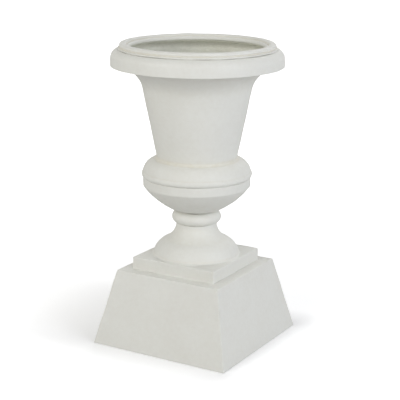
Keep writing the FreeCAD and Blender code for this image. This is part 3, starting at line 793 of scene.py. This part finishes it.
def closed_cell_foam():
    """Colour and skin from small cells: the farther from a cell's centre, the paler and the higher. The
    darker pits are painted shade.
    """
    material, tree, shader, place = new_finish("closed_cell_foam", {"Roughness": 0.85, "IOR": 1.45})
    cells = add(tree, "TexVoronoi", {"Vector": place, "Scale": 1 / FOAM_CELL}, feature="F1")
    # The pits are darker as painted shade.
    colour = add(tree, "Mix", {0: cells.outputs["Distance"], 6: linear(FOAM_PIT_SHADE), 7: linear(FOAM_WALL)},
                 data_type="RGBA")
    skin = add(tree, "Bump", {"Height": cells.outputs["Distance"], "Strength": 0.5, "Distance": 0.0002})
    feed(shader, {"Base Color": colour.outputs[2], "Normal": skin.outputs[0]})
    return material


foam = closed_cell_foam()


# %% Woven tape
TAPE_VALLEY_SHADE, TAPE_RIDGE = "#7f8472", "#bcbfab"
YARN = 0.003  # metres


def woven_glass_tape():
    """Two sets of ridges, one round and one across, each hidden where the other passes over. The valleys
    between them are darker as painted shade.
    """
    material, tree, shader, _ = new_finish("woven_glass_tape_in_resin", {"Roughness": 0.35, "IOR": 1.53})
    flat = add(tree, "UVMap", uv_map="flat").outputs[0]
    cloth = add(tree, "Mapping", {"Vector": flat, "Scale": (1 / YARN, 1 / YARN, 1)})
    warp = add(tree, "TexWave", {"Vector": cloth.outputs[0], "Scale": 0.5}, bands_direction="X")
    weft = add(tree, "TexWave", {"Vector": cloth.outputs[0], "Scale": 0.5}, bands_direction="Y")
    over = add(tree, "TexChecker", {"Vector": cloth.outputs[0], "Scale": 1.0})
    height = add(tree, "Mix", {0: over.outputs["Fac"], 2: warp.outputs["Fac"], 3: weft.outputs["Fac"]})
    # The darker valleys of the weave are painted shade.
    colour = add(tree, "Mix", {0: height.outputs[0], 6: linear(TAPE_VALLEY_SHADE), 7: linear(TAPE_RIDGE)},
                 data_type="RGBA")
    skin = add(tree, "Bump", {"Height": height.outputs[0], "Strength": 0.6, "Distance": 0.0004})
    feed(shader, {"Base Color": colour.outputs[2], "Normal": skin.outputs[0]})
    return material


tape = woven_glass_tape()


# %% Pegs
NYLON, NYLON_PALE = "#dcd8c9", "#e8e5da"
FLOW_CLOUD = 0.008  # metres


def moulded_nylon():
    """A warm off-white with soft flow clouds and a satin skin."""
    material, tree, shader, place = new_finish("moulded_nylon", {"Roughness": 0.42, "IOR": 1.53})
    flow = add(tree, "TexNoise", {"Vector": place, "Scale": 1 / FLOW_CLOUD, "Detail": 3.0,
                                  "Distortion": 1.5})
    colour = add(tree, "Mix", {0: flow.outputs["Fac"], 6: linear(NYLON), 7: linear(NYLON_PALE)},
                 data_type="RGBA")
    skin = add(tree, "Bump", {"Height": flow.outputs["Fac"], "Strength": 0.1, "Distance": 0.0002})
    feed(shader, {"Base Color": colour.outputs[2], "Normal": skin.outputs[0]})
    return material


keep_node("locating_pegs", moulded_nylon())


# %% Small turned pieces
def small_turning(name, node, corners, rows, material, body="urn", at=0.0, solid=False, columns=96):
    """A small soft-edged turning from a template, moved to x = `at`. A solid one runs in to the axis."""
    outline = spread_out(softened(walk(corners), 0.3), rows)
    if solid:
        outline = to_the_axis(outline)
    outline[:, 1] += level(node)
    piece = make_piece(name, turned(outline, columns) + (at, 0, 0))
    if solid:
        close_poles(piece)
    piece.data.materials.append(material)
    return stand_for(piece, node, body)


small_turning("neck_gasket_foam", "neck_gasket", [
    (37.5, 0), (48.2, 0, 0.4), (48.2, 2), (37.5, 2, 0.4),
], 60, foam, columns=192)
small_turning("seal_washer_rubber", "bowl_seal_washer", [
    (ROD_HOLE, 0), (12, 0, 0.2), (12, 2), (ROD_HOLE, 2),
], 60, seal_rubber)
small_turning("drain_grommet_rubber", "drain_grommet", [
    (5.3, 0), (10.5, 0), (10.5, 2), (8, 2), (8, 17), (10.5, 17), (10.5, 19), (5.3, 19),
], 110, seal_rubber, at=DRAIN_PLACE)
small_turning("seam_tape", "seam_strip", [
    (128.9, 0), (131.2, 0), (131.2, 26), (128.9, 26),
], 40, tape, columns=256)
small_turning("plug_with_grip", "drain_plug", [
    (-8, 0), (4, 0), (5, 1), (5, 20), (9, 20), (9, 23), (3, 23), (3, 27, 1.5), (3, 33), (-8, 33),
], 150, plug_rubber, body="plug", at=DRAIN_PLACE, solid=True)

# %% [markdown]
# ## The studio
#
# The urn stands on a plain pale floor in soft light. The world is white to the camera, to mirrors and
# through glass, and dimmer to the surfaces it lights, so the picture's ground is white while colours
# render about as they are written. Wide lamps in front, on the right and behind add a gentle direction.

# %% World and floor
AMBIENT = 0.376


def white_world():
    """White where it is seen, AMBIENT where it lights a surface."""
    world = bpy.data.worlds.new("studio")
    bpy.context.scene.world = world
    world.use_nodes = True
    tree = world.node_tree
    ray = add(tree, "LightPath").outputs
    seen = add(tree, "Math", {0: ray["Is Camera Ray"], 1: ray["Is Glossy Ray"]}, operation="MAXIMUM")
    seen = add(tree, "Math", {0: seen.outputs[0], 1: ray["Is Transmission Ray"]}, operation="MAXIMUM")
    strength = add(tree, "MapRange", {"Value": seen.outputs[0], "To Min": AMBIENT, "To Max": 1.0})
    ground = tree.nodes["Background"]
    ground.inputs["Color"].default_value = linear("#ffffff")
    tree.links.new(strength.outputs[0], ground.inputs["Strength"])


FLOOR_HALF = 12.0
FLOOR_COLOUR, FLOOR_SEEN = "#d6d6d6", "#ffffff"
FOOTPRINT, LEFT_SHARE, RIGHT_SHARE = 0.197, 0.35, 1.8
NEAR_GLOW, OPEN_GLOW, OPEN_AT = 0.08, 0.36, 0.115
FAR_FROM, FAR_TO, FAR_GLOW = 0.6, 1.8, 0.7


def glow_round_the_urn(tree, place):
    """The glow by how far a point lies outside the footprint.

    Steps to either side count by its share, so the glow stays low farther out on the left and paints the
    shadow longer there. Far out, a second term lifts the sheet to the white of the ground.
    """
    x, y, _ = add(tree, "SeparateXYZ", {0: place}).outputs
    rightward, leftward = (add(tree, "Math", {0: x, 1: share, 2: -abs(share) * FOOTPRINT},
                               operation="MULTIPLY_ADD") for share in (RIGHT_SHARE, -LEFT_SHARE))
    sideways = add(tree, "Math", {0: rightward.outputs[0], 1: leftward.outputs[0]}, operation="MAXIMUM")
    depth = add(tree, "Math", {0: y}, operation="ABSOLUTE")
    endways = add(tree, "Math", {0: depth.outputs[0], 1: FOOTPRINT}, operation="SUBTRACT")
    both = add(tree, "CombineXYZ", {0: sideways.outputs[0], 1: endways.outputs[0]})
    outside = add(tree, "VectorMath", {0: both.outputs[0], 1: (0, 0, 0)}, operation="MAXIMUM")
    gap = add(tree, "VectorMath", {0: outside.outputs[0]}, operation="LENGTH").outputs["Value"]
    near = add(tree, "MapRange", {"Value": gap, "From Max": OPEN_AT, "To Min": NEAR_GLOW,
                                  "To Max": OPEN_GLOW})
    away = add(tree, "VectorMath", {0: place}, operation="LENGTH").outputs["Value"]
    far = add(tree, "MapRange", {"Value": away, "From Min": FAR_FROM, "From Max": FAR_TO,
                                 "To Max": FAR_GLOW}, interpolation_type="SMOOTHSTEP")
    return add(tree, "Math", {0: near.outputs[0], 1: far.outputs[0]}, operation="ADD").outputs[0]


def studio_floor():
    """A flat sheet that the camera sees white.

    It glows for the camera only, and less beside the urn, so the shadow there stays and the open floor is
    as white as the ground.
    """
    corners = np.array([(-1, -1, 0), (1, -1, 0), (1, 1, 0), (-1, 1, 0)]) * FLOOR_HALF
    mesh = bpy.data.meshes.new("floor")
    mesh.from_pydata(corners, [], [(0, 1, 2, 3)])
    floor = bpy.data.objects.new("floor", mesh)
    bpy.context.scene.collection.objects.link(floor)
    material, tree, shader, place = new_finish("studio_paper", {"Roughness": 0.9, "Specular IOR Level": 0.1,
                                                                "Emission Color": linear("#ffffff")})
    seen = add(tree, "LightPath").outputs["Is Camera Ray"]
    sheet = add(tree, "Mix", {0: seen, 6: linear(FLOOR_COLOUR), 7: linear(FLOOR_SEEN)}, data_type="RGBA")
    # The glow is painted light, and its dip beside the urn is a painted shadow.
    shown = add(tree, "Math", {0: seen, 1: glow_round_the_urn(tree, place)}, operation="MULTIPLY")
    feed(shader, {"Base Color": sheet.outputs[2], "Emission Strength": shown.outputs[0]})
    mesh.materials.append(material)


white_world()
studio_floor()


# %% Lamps
def softbox(name, place, aim, size, watts, tint="#ffffff"):
    """A square lamp at a place, facing a point, all in metres. The tint is the colour of its cloth."""
    lamp = bpy.data.lights.new(name, "AREA")
    lamp.shape, lamp.size, lamp.energy, lamp.color = "SQUARE", size, watts, linear(tint)[:3]
    box = bpy.data.objects.new(name, lamp)
    box.location = place
    box.rotation_euler = (Vector(aim) - Vector(place)).to_track_quat("-Z", "Y").to_euler()
    bpy.context.scene.collection.objects.link(box)
    print(f"{name}: {watts} W, {size} m wide, {Vector(place).length:.1f} m away")


softbox("left front", (-1.0, -3.5, 2.1), (0, 0, 0.5), 2.0, 59, "#fffefa")
softbox("right front", (3.5, -1.0, 2.0), (0, 0, 0.5), 2.0, 41, "#f5f8ff")
softbox("right", (3.8, 0.4, 1.2), (0, 0, 0.4), 2.0, 28, "#f5f8ff")
softbox("behind", (-0.6, 3.2, 3.0), (0, 0, 0.4), 2.5, 27)

# %% [markdown]
# ## The camera
#
# The camera stands in front and to one side, a little above the rim, and looks down on the object. Its
# place and turn were worked out from the corners of the pedestal and the ellipses of the rings.

# %% Camera
BEARING, AIM, PITCH_DOWN, ROLL = (math.radians(a) for a in (30.498, 30.329, 15.027, 0.436))
CAMERA_AWAY, CAMERA_HEIGHT = 2.991, 1.1774
SENSOR_WIDTH, FOCAL_LENGTH = 36.0, 106.14  # millimetres
eye = Vector((math.sin(BEARING) * CAMERA_AWAY, -math.cos(BEARING) * CAMERA_AWAY, CAMERA_HEIGHT))
level_sight = math.cos(PITCH_DOWN)
sight = Vector((-math.sin(AIM) * level_sight, math.cos(AIM) * level_sight, -math.sin(PITCH_DOWN)))
lens = bpy.data.cameras.new("camera")
lens.sensor_width, lens.lens = SENSOR_WIDTH, FOCAL_LENGTH
camera = bpy.data.objects.new("camera", lens)
camera.rotation_mode = "QUATERNION"
camera.rotation_quaternion = sight.to_track_quat("-Z", "Y") @ Quaternion((0, 0, 1), ROLL)
camera.location = eye
bpy.context.scene.collection.objects.link(camera)
bpy.context.scene.camera = camera
bpy.context.scene.view_settings.view_transform = "Standard"
print("camera at", [round(c, 3) for c in eye])
